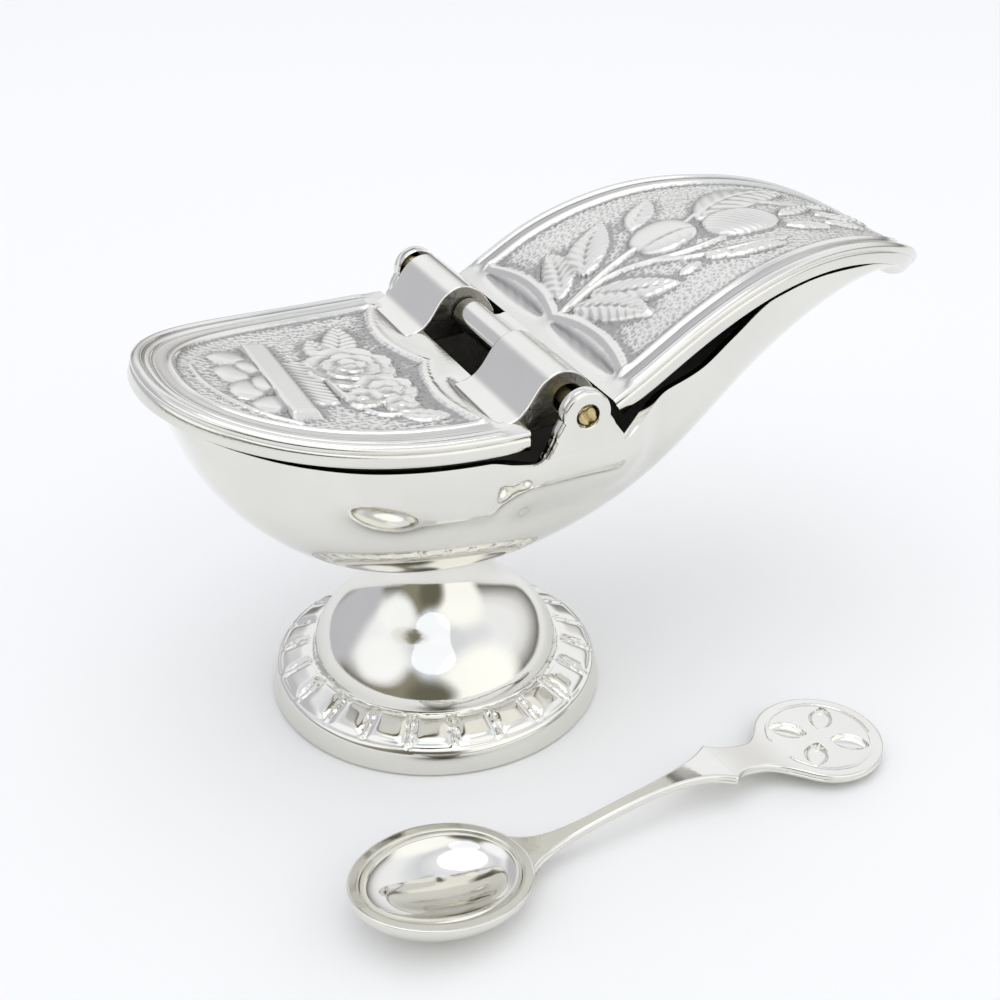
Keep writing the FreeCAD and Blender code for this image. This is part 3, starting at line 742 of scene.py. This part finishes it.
def front_relief(outline):
    def relief(x, y):
        d = edge_distance(x, y, outline)
        h = bead(d, 1.15, 0.75, 0.42) - bead(d, 2.1, 0.28, 0.22) + bead(d, 2.9, 0.6, 0.20) \
            - bead(d, 3.75, 0.25, 0.15)
        h -= bead(d, 5.1, 1.3, 0.16)
        h += bead(d, 7.0, 0.65, 0.34)
        # bracket-shaped border on the hinge side, with two smooth lens hollows behind it
        ay = np.abs(y + 0.8)
        border = -1.1 - 3.4 * np.sin(np.clip(ay / 29.0, 0, 1) * math.pi) ** 0.8
        e = border - x
        inside = step(7.4, 8.0, d) * step(0.2, 1.1, e)
        h = h * step(-0.2, 0.6, e + 0.8) + bead(e, 0.0, 1.0, 0.36) * step(6.5, 7.2, d)
        for a, b in (((0.6, 11.5), (0.4, 28.5)), ((0.0, -9.5), (1.2, -31.0))):
            t, s, length = along(x, y, a, b)
            half = 2.2 * np.sin(math.pi * np.clip(t, 0, 1)) ** 0.7 + 1e-6
            k = np.clip(np.abs(s) / half, 0, 1)
            h = np.where((t > 0) & (t < 1), h - 0.60 * (1 - k ** 2), h)
        # raised work on the punched ground
        g = np.zeros(x.shape)
        for cx, cy, a, b, turn, top in ((-36.4, 9.0, 3.6, 4.6, 0.5, 0.75),
                                        (-37.6, 2.0, 3.2, 4.8, 0.1, 0.65),
                                        (-37.0, -5.2, 3.4, 4.6, -0.3, 0.75),
                                        (-34.6, -11.8, 3.3, 4.0, -0.7, 0.7),
                                        (-34.2, 4.4, 2.6, 3.6, 0.2, 0.95),
                                        (-33.8, -3.2, 2.4, 4.2, -0.2, 1.0)):
            g, k = mound(g, x, y, (cx, cy), a, b, turn, top, 2.2)
            g = np.where((k > 0.55) & (k < 0.9), g - 0.10, g)
        strip = step(2.75, 2.35, np.abs(x + 30.4)) * step(15.2, 14.6, y) * step(-17.8, -17.2, y)
        g = np.where(strip > 0, np.maximum(g * (1 - strip), 1.15 * strip), g)
        cut = (x > -33.0) & (x < -27.8) & (y <= -17.2) & (y > -19.4)
        g = np.where(cut, 0.95 * (y + 19.4) / 2.2, g)
        hatch = step(-27.8, -27.3, x) * step(-22.2, -22.7, x) * step(-13.6, -12.9, y) * step(7.0,
                                                                                             6.3, y)
        g = np.where(hatch > 0,
                     hatch * (0.46 + 0.09 * np.sin(2 * math.pi * (y * 0.8 + x * 0.55) / 1.3)), g)
        g = rod(g, x, y, [(-22.0, 6.4), (-21.7, 0.0), (-21.1, -11.0)], 0.8, 1.05)
        g = leaf(g, x, y, (-16.6, 6.6), (-11.2, 22.0), 3.6, 0.95, veins=1.9, bend=0.8)
        g = leaf(g, x, y, (-17.6, 5.6), (-18.4, 17.4), 2.6, 0.8, veins=1.9, bend=-0.6)
        petals = [(-15.4, 1.0, 6.3, 8, 0.55, 0.2, 3.4), (-15.4, 1.0, 3.6, 6, 0.80, 0.6, 2.7),
                  (-15.4, 1.0, 1.5, 4, 1.02, 0.1, 1.8),
                  (-12.6, -10.2, 4.0, 7, 0.50, 0.4, 2.5), (-12.6, -10.2, 1.8, 5, 0.74, 0.9, 1.9),
                  (-18.0, -12.6, 1.9, 5, 0.55, 0.2, 2.1), (-12.2, -17.0, 1.7, 5, 0.50, 0.7, 1.9)]
        for cx, cy, out, count, base, start, size in petals:
            for i in range(count):
                turn = start + 2 * math.pi * i / count
                px, py = cx + 0.85 * out * math.cos(turn), cy + out * math.sin(turn)
                u = ((x - px) * math.cos(turn) + (y - py) * math.sin(turn)) / size
                v = (-(x - px) * math.sin(turn) + (y - py) * math.cos(turn)) / size
                k = np.hypot(u, v * 0.92)
                leafy = base + 0.26 * u + 0.20 * np.exp(-((k - 0.86) / 0.10) ** 2) - 0.12 * (v * v)
                edge = step(1.0, 0.93, k)
                g = np.where(k < 1, g * (1 - edge) + leafy * edge, g)
        for cx, cy in ((-15.4, 1.0), (-12.6, -10.2), (-18.0, -12.6), (-12.2, -17.0)):
            g, k = mound(g, x, y, (cx, cy), 1.2, 1.2, 0.0, 1.3 if cy > 0 else 0.95)
        g = leaf(g, x, y, (-14.0, -20.2), (-5.6, -24.0), 2.5, 0.7)
        g = rod(g, x, y, [(-19.0, -17.0), (-16.0, -20.0), (-13.2, -20.4)], 0.45, 0.6)
        g = rod(g, x, y, [(-44.6, 6.0), (-44.2, -2.0), (-41.2, -10.0), (-36.5, -16.5),
                          (-32.0, -20.4)], 0.55, 0.42)
        ground = pits(x, y, 0.98, 0.42, 0.24, 3) + 0.03 * np.sin(3.1 * x) * np.sin(2.7 * y)
        h = eased(h * (1 - inside) + (g - 0.45) * inside, inside)
        return h + ground * step(0.22, 0.02, g) * step(0.75, 1.0, inside), inside
    return relief


def rear_relief(outline):
    def relief(x, y):
        d = edge_distance(x, y, outline)
        h = bead(d, 1.2, 0.8, 0.40) - bead(d, 2.2, 0.3, 0.24) - bead(d, 3.5, 1.1, 0.18) \
            + bead(d, 5.1, 0.7, 0.40)
        ay = np.abs(y + 1.0)
        border = 26.6 + 2.2 * np.sin(np.clip(ay / 28.0, 0, 1) * math.pi) ** 0.8
        e = x - border
        inside = step(5.6, 6.2, d) * step(0.3, 1.2, e)
        h = h * step(-2.2, -0.6, e) + bead(e, 0.1, 1.0, 0.38) * step(4.6, 5.2, d)
        for a, b in (((25.2, -2.6), (25.0, -28.0)), ((25.2, 1.6), (25.0, 27.0))):
            t, s, length = along(x, y, a, b)
            half = 1.6 * np.sin(math.pi * np.clip(t, 0, 1)) ** 0.5 + 1e-6
            k = np.clip(np.abs(s) / half, 0, 1)
            rough = 0.10 * np.sin(4.1 * x + 2.0 * y) * np.sin(3.3 * y)
            h = np.where((t > 0) & (t < 1) & (k < 1),
                         h - 0.34 * (1 - k ** 2) ** 0.8 + rough * (1 - k) * 0.6, h)
        g = np.zeros(x.shape)
        stem = 0.75
        g = rod(g, x, y, [(28.4, -1.6), (33.0, -0.8), (40.0, 0.6), (46.0, 1.6)], 0.75, stem)
        g = rod(g, x, y, [(30.0, -2.0), (38.0, -2.0), (46.0, -5.6), (52.0, -8.2), (60.0, -8.6)],
                0.6, stem)
        g = rod(g, x, y, [(46.0, -5.6), (52.0, -11.0), (60.0, -14.0), (70.0, -15.0)], 0.5, 0.6)
        g = rod(g, x, y, [(57.0, 2.0), (64.0, 6.0), (74.0, 6.5), (86.0, 3.0)], 0.5, 0.6)
        g = leaf(g, x, y, (29.6, -3.6), (37.0, -20.6), 3.7, 0.95, bend=-0.9)
        g = leaf(g, x, y, (33.2, -3.6), (45.0, -17.0), 3.9, 1.0, bend=1.1)
        g = leaf(g, x, y, (29.8, 2.2), (34.6, 18.6), 3.4, 0.8, bend=0.9)
        g = leaf(g, x, y, (35.6, 3.4), (46.6, 17.0), 4.4, 0.9, bend=-1.2)
        g = leaf(g, x, y, (49.0, 9.0), (58.5, 18.2), 2.9, 0.65)
        # bud
        g, k = mound(g, x, y, (52.0, 1.2), 6.6, 6.4, 0.15, 1.0, 2.4)
        g = np.where((k < 0.9) & (y < 0.0), g + 0.22 - 0.10 * np.abs(np.sin(1.4 * x)), g)
        g = np.where((k < 0.95) & (np.abs(y + 0.3) < 0.35), g - 0.3, g)
        # striated ear of grain with a long sheath leaf behind it
        g = leaf(g, x, y, (60.5, 2.4), (88.0, 11.6), 5.2, 0.75, veins=3.4, bend=-2.4)
        g, k = mound(g, x, y, (67.2, -3.4), 8.2, 6.4, 0.05, 1.35, 2.2)
        g = np.where(k < 0.95, g + 0.20 * np.cos(2 * math.pi * (x * 0.85 + y * 0.5) / 1.25), g)
        for a, b, w in (((77.0, -2.8), (88.5, 2.4), 1.9), ((74.5, -9.0), (84.0, -12.0), 1.7),
                        ((53.0, -12.6), (58.0, -15.6), 1.5), ((56.0, -16.0), (69.0, -17.6), 1.5),
                        ((86.0, -2.8), (97.0, -3.6), 1.5), ((88.5, 3.4), (98.0, 6.2), 1.5),
                        ((84.5, -8.4), (94.0, -10.0), 1.5), ((46.5, -14.6), (51.5, -14.2), 1.1),
                        ((95.0, 0.6), (103.0, 0.2), 1.3)):
            g = leaf(g, x, y, a, b, w, 0.85)
        ground = pits(x, y, 0.92, 0.42, 0.20, 5) + 0.04 * np.sin(3.7 * x + y) * np.sin(3.1 * y - x)
        h = eased(h * (1 - inside) + (g - 0.38) * inside, inside)
        return h + ground * step(0.22, 0.02, g) * step(0.75, 1.0, inside), inside
    return relief


LID_SIDE = [(-0.55, 0.0), (-0.22, 0.07), (-0.04, 0.3), (0.0, 0.62), (-0.04, 0.95), (-0.25, 1.15),
            (-0.30, 1.35),
            (-0.12, 1.55), (-0.05, 1.9), (-0.05, 3.3), (-0.16, 3.72), (-0.5, 3.9), (-3.0, 3.9)]


FRONT_LONG, FRONT_HALF, FRONT_CURVE = 61.25, 36.4, 2 / 2.3     # rounded plan of the front lid


def build_front_lid():
    end = math.acos((1 - (4.2 + FRONT_REACH) / FRONT_LONG) ** (1 / FRONT_CURVE))
    phi = np.linspace(0, 1, 250)
    phi = end * (1 - phi)
    x = -FRONT_REACH + FRONT_LONG * (1 - np.cos(phi) ** FRONT_CURVE)
    w = FRONT_HALF * np.sin(phi) ** FRONT_CURVE
    outline = np.stack([-x, w], -1)
    # length along the top is counted from the hinge towards the tip, so work in mirrored x
    xs = np.linspace(-6.0, 62.0, 300)
    zs = front_z(-xs)
    q = chord(np.stack([xs, zs], -1))
    line = (lambda v: np.interp(v, xs, q), lambda v: np.interp(v, q, xs),
            lambda v: np.interp(v, q, zs))
    plan = np.stack([x, w], -1)
    real = front_relief(plan)
    verts, faces, marks = plate(outline, line, lambda px, py: real(-px, py), LID_SIDE, (-3.3, 2.5),
                                290)
    verts = verts * [-1, 1, 1]
    make_object("front_lid_plate", verts, faces, "low_lid", lid_metal, ("front_lid",),
                angle=50, marks=marks)


def build_rear_lid():
    p = np.asarray(REAR_PLAN, float)
    q = chord(p)
    full = np.concatenate([p, (p * [1, -1])[-2::-1]])
    qf = chord(full)
    fx, fy = spline(qf, full[:, 0]), spline(qf, full[:, 1])
    n = 330
    t = np.linspace(0, 1, n)
    t = qf[len(p) - 1] * (t * 0.8 + 0.2 * np.sin(t * math.pi / 2))
    x, w = fx(t), np.maximum(fy(t), 0)
    w[-1] = 0.0
    pts = np.asarray(REAR_TOP + [(112.4, 72.0)], float)
    k = chord(pts)
    cx0, cz0 = spline(k, pts[:, 0]), spline(k, pts[:, 1])
    dense = np.linspace(-4, k[-1] + 2, 2000)
    xd = cx0(dense)
    line = (lambda v: np.interp(v, xd, dense), cx0, cz0)
    plan = np.stack([x, w], -1)
    verts, faces, marks = plate(plan, line, rear_relief(plan), LID_SIDE, (-3.3, 2.5), 260)
    make_object("rear_lid_plate", verts, faces, "tail_lid", lid_metal, ("rear_lid",),
                angle=50, marks=marks)


build_front_lid()
build_rear_lid()


# ---------------------------------------------------------------- hinge barrels and lug
def curve_points(points, n):
    p = np.asarray(points, float)
    q = chord(p)
    t = np.linspace(0, q[-1], n)
    return list(zip(spline(q, p[:, 0])(t), spline(q, p[:, 1])(t)))


def barrel_outline():
    pts = curve_points([(0.0, 74.05), (2.2, 74.42), (4.4, 75.5), (6.5, 77.9), (8.9, 81.0),
                        (12.3, 82.55), (16.0, 81.3),
                        (18.6, 78.3), (20.1, 75.2)], 48)
    return pts + [(19.8, 73.0), (18.8, 72.7), (4.2, 71.6), (1.0, 72.6)]


for side, tag in ((-1, "near"), (1, "far")):
    side_shape("front_lid_barrel_" + tag, barrel_outline(), sorted(side * y for y in BARREL_Y),
               "low_lid", smooth_lid_metal, (PIN_X, PIN_Z, BARREL_HOLE), 0.85,
               ends=rough_metal)

lug = [(PIN_X + LUG_R * math.cos(a), PIN_Z + LUG_R * math.sin(a))
       for a in np.linspace(math.radians(62), math.radians(278), 40)]
lug += [(18.0, 72.9), (22.4, 72.3), (24.0, 73.4), (24.0, 76.4), (22.2, 75.9), (21.2, 75.9)]
lug += curve_points([(20.4, 75.7), (18.2, 76.1), (16.6, 77.6), (15.6, 79.2)], 10)
side_shape("rear_lid_lug", lug, (-LUG_HALF, LUG_HALF), "tail_lid", smooth_lid_metal,
           (PIN_X, PIN_Z, LUG_HOLE), 0.5)


# ---------------------------------------------------------------- spoon
SPOON_TURN = math.radians(5.5)
SPOON_AT = (-26.7, -65.4)
TILT = math.radians(7.0)
A, B, DEPTH = 17.2, 13.6, 7.5
LIFT = math.hypot(A * math.sin(TILT), DEPTH * math.cos(TILT))


def lay_spoon(verts):
    v = np.asarray(verts, float)
    c, s = math.cos(SPOON_TURN), math.sin(SPOON_TURN)
    return np.stack([v[:, 0] * c - v[:, 1] * s + SPOON_AT[0],
                     v[:, 0] * s + v[:, 1] * c + SPOON_AT[1], v[:, 2]], -1)


def build_spoon_bowl():
    prof = []
    for a in np.linspace(0, math.pi / 2, 40):
        prof.append((math.sin(a), -DEPTH * math.cos(a), 0))
    prof += [(1.0, 0.10, -0.03), (1.0, 0.18, -0.16)]
    prof += [(1.0, 0.18, -f) for f in (0.5, 1.0, 1.5)]
    prof += [(1.0, 0.18, -1.95), (1.0, 0.10, -2.08)]
    for a in np.linspace(math.pi / 2, 0, 40):
        prof.append((math.sin(a), -(DEPTH - 1.7) * math.cos(a), -2.1 * math.sin(a) if a > 0 else 0))
    cols = 160
    ang = np.linspace(0, 2 * math.pi, cols, endpoint=False)
    rows = []
    for f, z, shift in prof:
        egg = 1 + 0.05 * np.cos(ang)
        x = (A * f + shift) * np.cos(ang)
        y = (B * f + shift) * np.sin(ang) * egg
        c, s = math.cos(TILT), math.sin(TILT)
        rows.append(np.stack([x * c + z * s, y, -x * s + z * c + LIFT], -1))
    verts = np.concatenate(rows)
    faces = grid_faces(len(prof), cols, wrap_cols=True)
    make_object("spoon_bowl", lay_spoon(verts), faces, "loose_spoon", spoon_metal,
                ("spoon",), angle=50)


FINIAL_T, FINIAL_R, FINIAL_RING = 86.3, 12.8, 10.4      # round flat end: place, radius, groove
HOLLOW_AT, HOLLOW_LONG, HOLLOW_HALF, HOLLOW_DEPTH = 6.2, 3.7, 2.35, 1.05


def build_spoon_handle():
    knots = [15.4, 17.0, 19.0, 22.0, 26.0, 31.0, 38.0, 46.0, 53.0, 58.0, 61.0]
    widths = [5.6, 4.4, 3.3, 2.3, 1.65, 1.35, 1.3, 1.5, 2.4, 3.9, 5.6]
    t0 = np.linspace(15.4, 61.0, 150)
    w0 = spline(knots, widths)(t0)
    t1 = np.linspace(61.25, 76.2, 60)
    w1 = spline([61.25, 62.6, 64.4, 67.5, 71.0, 74.0, 76.2],
                [5.6, 4.7, 4.0, 3.75, 4.1, 5.9, 7.9])(t1)
    a = np.linspace(math.pi - math.asin(7.9 / FINIAL_R), 0, 130)[1:]
    t2, w2 = FINIAL_T + FINIAL_R * np.cos(a), FINIAL_R * np.sin(a)
    x, w = np.r_[t0, t1, t2], np.r_[w0, w1, w2]
    w[-1] = 0.0
    high = [(12.0, 6.15), (15.0, 5.9), (20.0, 5.6), (30.0, 6.4), (46.0, 8.0), (60.0, 7.7),
            (74.0, 4.6), (84.0, 3.4),
            (101.0, 2.9), (104.0, 2.8)]
    p = np.asarray(high, float)
    k = chord(p)
    cx0, cz0 = spline(k, p[:, 0]), spline(k, p[:, 1])
    dense = np.linspace(0, k[-1], 800)
    xd = cx0(dense)
    line = (lambda v: np.interp(v, xd, dense), cx0, cz0)

    def relief(px, py):
        dx = px - FINIAL_T
        r = np.hypot(dx, py)
        h = -bead(r, FINIAL_RING, 0.3, 0.18) * (px > 76.5)
        for i in range(4):
            turn = math.radians(45 + 90 * i)
            c, s = math.cos(turn), math.sin(turn)
            u, v = dx * c + py * s - HOLLOW_AT, -dx * s + py * c
            half = HOLLOW_HALF * np.clip(1 - (u / HOLLOW_LONG) ** 2, 0, 1) ** 0.75 + 1e-6
            k2 = np.clip(np.abs(v) / half, 0, 1)
            lip = 0.12 * np.exp(-((k2 - 1) / 0.15) ** 2) * (k2 < 1)
            h = np.where(np.abs(u) < HOLLOW_LONG, h - HOLLOW_DEPTH * np.sqrt(1 - k2 ** 2) + lip, h)
        return h, np.zeros(h.shape)

    sides = [(-0.5, 0.0), (-0.2, 0.08), (-0.03, 0.26), (0.0, 0.5), (0.0, 0.8), (-0.18, 0.93),
             (-0.18, 1.05), (0.0, 1.18),
             (0.0, 1.5), (-0.15, 1.8), (-0.5, 2.0), (-0.8, 2.05)]
    verts, faces, marks = plate(np.stack([x, w], -1), line, relief, sides, (-1.0, 2.05), 90,
                                floor_cols=5)
    make_object("spoon_handle", lay_spoon(verts), faces, "loose_spoon", spoon_metal,
                angle=50)


build_spoon_bowl()
build_spoon_handle()

# ---------------------------------------------------------------- stage
floor_mat, nt, bsdf = nodes_of("pale_floor")
bsdf.inputs["Base Color"].default_value = (0.93, 0.93, 0.92, 1)
bsdf.inputs["Roughness"].default_value = 0.75
noise = nt.nodes.new("ShaderNodeTexNoise")
noise.inputs["Scale"].default_value = 8.0
tint = nt.nodes.new("ShaderNodeMapRange")
tint.inputs["To Min"].default_value = 0.72
tint.inputs["To Max"].default_value = 0.80
nt.links.new(noise.outputs["Fac"], tint.inputs["Value"])
nt.links.new(tint.outputs["Result"], bsdf.inputs["Roughness"])
me = bpy.data.meshes.new("floor")
half = 6.0
me.from_pydata([(-half, -half, -0.0002), (half, -half, -0.0002), (half, half, -0.0002),
                (-half, half, -0.0002)], [],
               [(0, 1, 2, 3)])
me.materials.append(floor_mat)
floor = bpy.data.objects.new("floor", me)
bpy.context.scene.collection.objects.link(floor)

SKY_STRENGTH = 1.36
CAMERA_AT, CAMERA_AIM = (-0.1001, -0.2453, 0.1942), (0.3696, 0.7853, -0.4968)
CAMERA_LENS, CAMERA_SENSOR = 54.0, 36.0

world = bpy.data.worlds.new("studio")
bpy.context.scene.world = world
world.use_nodes = True
wn = world.node_tree
back = wn.nodes["Background"]
coord = wn.nodes.new("ShaderNodeTexCoord")


def toward(direction, low, high, colour, under):
    """Blend a colour over the sky around one direction."""
    d = Vector(direction).normalized()
    dot = wn.nodes.new("ShaderNodeVectorMath")
    dot.operation = "DOT_PRODUCT"
    dot.inputs[1].default_value = d
    wn.links.new(coord.outputs["Generated"], dot.inputs[0])
    span = wn.nodes.new("ShaderNodeMapRange")
    span.interpolation_type = "SMOOTHSTEP"
    span.inputs["From Min"].default_value = low
    span.inputs["From Max"].default_value = high
    wn.links.new(dot.outputs["Value"], span.inputs["Value"])
    mix = wn.nodes.new("ShaderNodeMix")
    mix.data_type = "RGBA"
    wn.links.new(span.outputs["Result"], mix.inputs["Factor"])
    wn.links.new(under, mix.inputs["A"])
    mix.inputs["B"].default_value = (*colour, 1)
    return mix.outputs["Result"]


split = wn.nodes.new("ShaderNodeSeparateXYZ")
wn.links.new(coord.outputs["Generated"], split.inputs["Vector"])
dome = wn.nodes.new("ShaderNodeValToRGB")
wn.links.new(split.outputs["Z"], dome.inputs["Fac"])
stops = [(0.0, (0.55, 0.54, 0.50)), (0.05, (0.15, 0.15, 0.145)), (0.14, (0.34, 0.34, 0.345)),
         (0.30, (0.66, 0.66, 0.68)),
         (0.46, (0.78, 0.79, 0.82)), (0.66, (0.78, 0.79, 0.83)), (0.84, (0.58, 0.60, 0.65)),
         (1.0, (0.84, 0.85, 0.88))]
for i, (pos, colour) in enumerate(stops):
    el = dome.color_ramp.elements[i] if i < 2 else dome.color_ramp.elements.new(pos)
    el.position = pos
    el.color = (*colour, 1)
# (direction, cosine where the patch starts, cosine where it is full, colour)
patches = [((-0.40, -0.80, 0.60), 0.76, 0.95, (0.60, 0.63, 0.70)),      # bluish, above camera
           ((0.32, -0.90, 0.28), 0.70, 0.90, (0.94, 0.94, 0.92)),       # bright wall, front right
           ((-0.80, -0.52, 0.24), 0.86, 0.95, (0.22, 0.21, 0.16)),      # olive patch, left
           ((-0.44, -0.88, 0.14), 0.88, 0.985, (0.12, 0.115, 0.085)),   # dark low patch, front
           ((-0.60, 0.785, 0.25), 0.83, 0.95, (0.46, 0.46, 0.50)),      # grey wall, back left
           ((-0.80, -0.10, 0.55), 0.86, 0.97, (0.88, 0.89, 0.92))]      # pale patch, upper left
sky = dome.outputs["Color"]
for direction, low, high, colour in patches:
    sky = toward(direction, low, high, colour, sky)
wn.links.new(sky, back.inputs["Color"])
back.inputs["Strength"].default_value = SKY_STRENGTH


def area(name, where, aim, size, power):
    light = bpy.data.lights.new(name, "AREA")
    light.shape = "DISK"
    light.size = size
    light.energy = power
    ob = bpy.data.objects.new(name, light)
    ob.location = where
    ob.rotation_euler = (Vector(aim) - Vector(where)).to_track_quat("-Z", "Y").to_euler()
    bpy.context.scene.collection.objects.link(ob)


area("key", (-0.05, -0.10, 1.25), (0.0, 0, 0.04), 1.0, 1.4)
area("fill", (-0.36, -0.76, 1.12), (0.0, 0, 0.04), 0.9, 0.8)

cam = bpy.data.cameras.new("camera")
cam.lens = CAMERA_LENS
cam.sensor_width = CAMERA_SENSOR
cam.clip_end = 50.0
cam_ob = bpy.data.objects.new("camera", cam)
cam_ob.location = CAMERA_AT
cam_ob.rotation_euler = Vector(CAMERA_AIM).to_track_quat("-Z", "Y").to_euler()
bpy.context.scene.collection.objects.link(cam_ob)
bpy.context.scene.camera = cam_ob

bpy.context.scene.view_settings.view_transform = "Standard"
